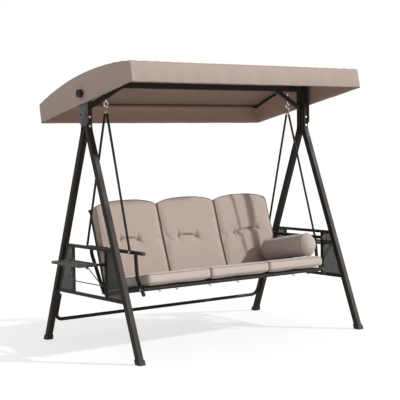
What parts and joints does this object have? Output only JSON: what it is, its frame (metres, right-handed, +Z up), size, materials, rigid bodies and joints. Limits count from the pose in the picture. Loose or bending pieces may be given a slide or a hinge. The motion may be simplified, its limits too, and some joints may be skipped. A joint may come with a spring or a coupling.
{
  "type": "canopy_swing_bench",
  "caption": "Garden swing bench: padded seat hung from an A-frame by rods, under a tilting fabric canopy, with fold-down side trays and a bolster",
  "frame": {"origin": "on the floor, midway between the four feet, under the middle of the top beam", "axes": "+X along the bench towards its right end seen from in front, +Y to the back, +Z up"},
  "size_m": [2.26, 1.2, 1.8581],
  "materials": {
    "dark_steel": "satin dark brown-black powder coat with a fine texture",
    "grey_steel": "satin grey powder coat",
    "chrome": "bright plated, lightly worn at the rubbing faces",
    "boot_plastic": "moulded, fine grain",
    "knob_plastic": "moulded dark brown grip",
    "tray_plastic": "moulded warm grey, fine grain",
    "mesh": "PVC-coated polyester mesh, open weave",
    "canopy_fabric": "taupe woven polyester, plain weave, stitched hems",
    "cushion_fabric": "taupe woven polyester over soft filling, piped seams"
  },
  "bodies": {
    "frame": {"left_front_leg": "dark_steel", "left_front_foot_boot": "boot_plastic", "left_front_mesh_panel": "mesh", "left_rear_leg": "dark_steel", "left_rear_foot_boot": "boot_plastic", "left_rear_mesh_panel": "mesh", "left_panel_ladder": "dark_steel", "left_beam_brace": "dark_steel", "left_apex_plate": "grey_steel", "left_eye_bolt": "chrome", "right_front_leg": "dark_steel", "right_front_foot_boot": "boot_plastic", "right_front_mesh_panel": "mesh", "right_rear_leg": "dark_steel", "right_rear_foot_boot": "boot_plastic", "right_rear_mesh_panel": "mesh", "right_panel_ladder": "dark_steel", "right_beam_brace": "dark_steel", "right_apex_plate": "grey_steel", "right_eye_bolt": "chrome", "top_beam": "dark_steel", "rear_stretcher": "dark_steel"},
    "seat": {"left_hanger_yoke": "chrome", "left_front_hanger_rod": "dark_steel", "left_rear_hanger_rod": "dark_steel", "left_armrest": "dark_steel", "left_arm_support": "dark_steel", "left_side_frame": "dark_steel", "left_back_upright": "dark_steel", "right_hanger_yoke": "chrome", "right_front_hanger_rod": "dark_steel", "right_rear_hanger_rod": "dark_steel", "right_armrest": "dark_steel", "right_arm_support": "dark_steel", "right_side_frame": "dark_steel", "right_back_upright": "dark_steel", "seat_front_rail": "dark_steel", "seat_rear_rail": "dark_steel", "back_top_rail": "dark_steel", "seat_sling": "mesh", "back_sling": "mesh", "left_seat_cushion": "cushion_fabric", "left_back_cushion": "cushion_fabric", "middle_seat_cushion": "cushion_fabric", "middle_back_cushion": "cushion_fabric", "right_seat_cushion": "cushion_fabric", "right_back_cushion": "cushion_fabric", "bolster": "cushion_fabric"},
    "canopy": {"canopy_left_arch": "dark_steel", "canopy_right_arch": "dark_steel", "canopy_front_tube": "dark_steel", "canopy_rear_tube": "dark_steel", "canopy_ridge_tube": "dark_steel", "canopy_fabric": "canopy_fabric"},
    "left_knob": {"left_canopy_knob": "knob_plastic"},
    "right_knob": {"right_canopy_knob": "knob_plastic"},
    "left_tray_top": {"left_tray": "tray_plastic"},
    "right_tray_top": {"right_tray": "tray_plastic"},
    "left_bail": {"left_tray_bail": "grey_steel"},
    "right_bail": {"right_tray_bail": "grey_steel"}
  },
  "joints": [
    {"name": "seat_swing", "type": "hinge", "parent": "frame", "child": "seat", "pos_m": [0, 0, 1.602], "axis": [1, 0, 0], "range_deg": [-20, 20]},
    {"name": "canopy_tilt", "type": "hinge", "parent": "frame", "child": "canopy", "pos_m": [0, 0, 1.68], "axis": [1, 0, 0], "range_deg": [-18, 32]},
    {"name": "left_knob_turn", "type": "hinge", "parent": "frame", "child": "left_knob", "pos_m": [-0.9905, 0, 1.68], "axis": [-1, 0, 0], "continuous": true},
    {"name": "left_tray_fold", "type": "hinge", "parent": "frame", "child": "left_tray_top", "pos_m": [-0.975, 0, 0.586], "axis": [0, -1, 0], "range_deg": [0, 90]},
    {"name": "left_bail_fold", "type": "hinge", "parent": "left_tray_top", "child": "left_bail", "pos_m": [-1.061, 0, 0.572], "axis": [0, -1, 0], "range_deg": [-131, 0]},
    {"name": "right_knob_turn", "type": "hinge", "parent": "frame", "child": "right_knob", "pos_m": [0.9905, 0, 1.68], "axis": [1, 0, 0], "continuous": true},
    {"name": "right_tray_fold", "type": "hinge", "parent": "frame", "child": "right_tray_top", "pos_m": [0.975, 0, 0.586], "axis": [0, 1, 0], "range_deg": [0, 90]},
    {"name": "right_bail_fold", "type": "hinge", "parent": "right_tray_top", "child": "right_bail", "pos_m": [1.061, 0, 0.572], "axis": [0, 1, 0], "range_deg": [-131, 0]}
  ],
  "couplings": [
    {"joint": "left_bail_fold", "follows": "left_tray_fold", "ratio": -1.4377},
    {"joint": "right_bail_fold", "follows": "right_tray_fold", "ratio": -1.4377}
  ]
}
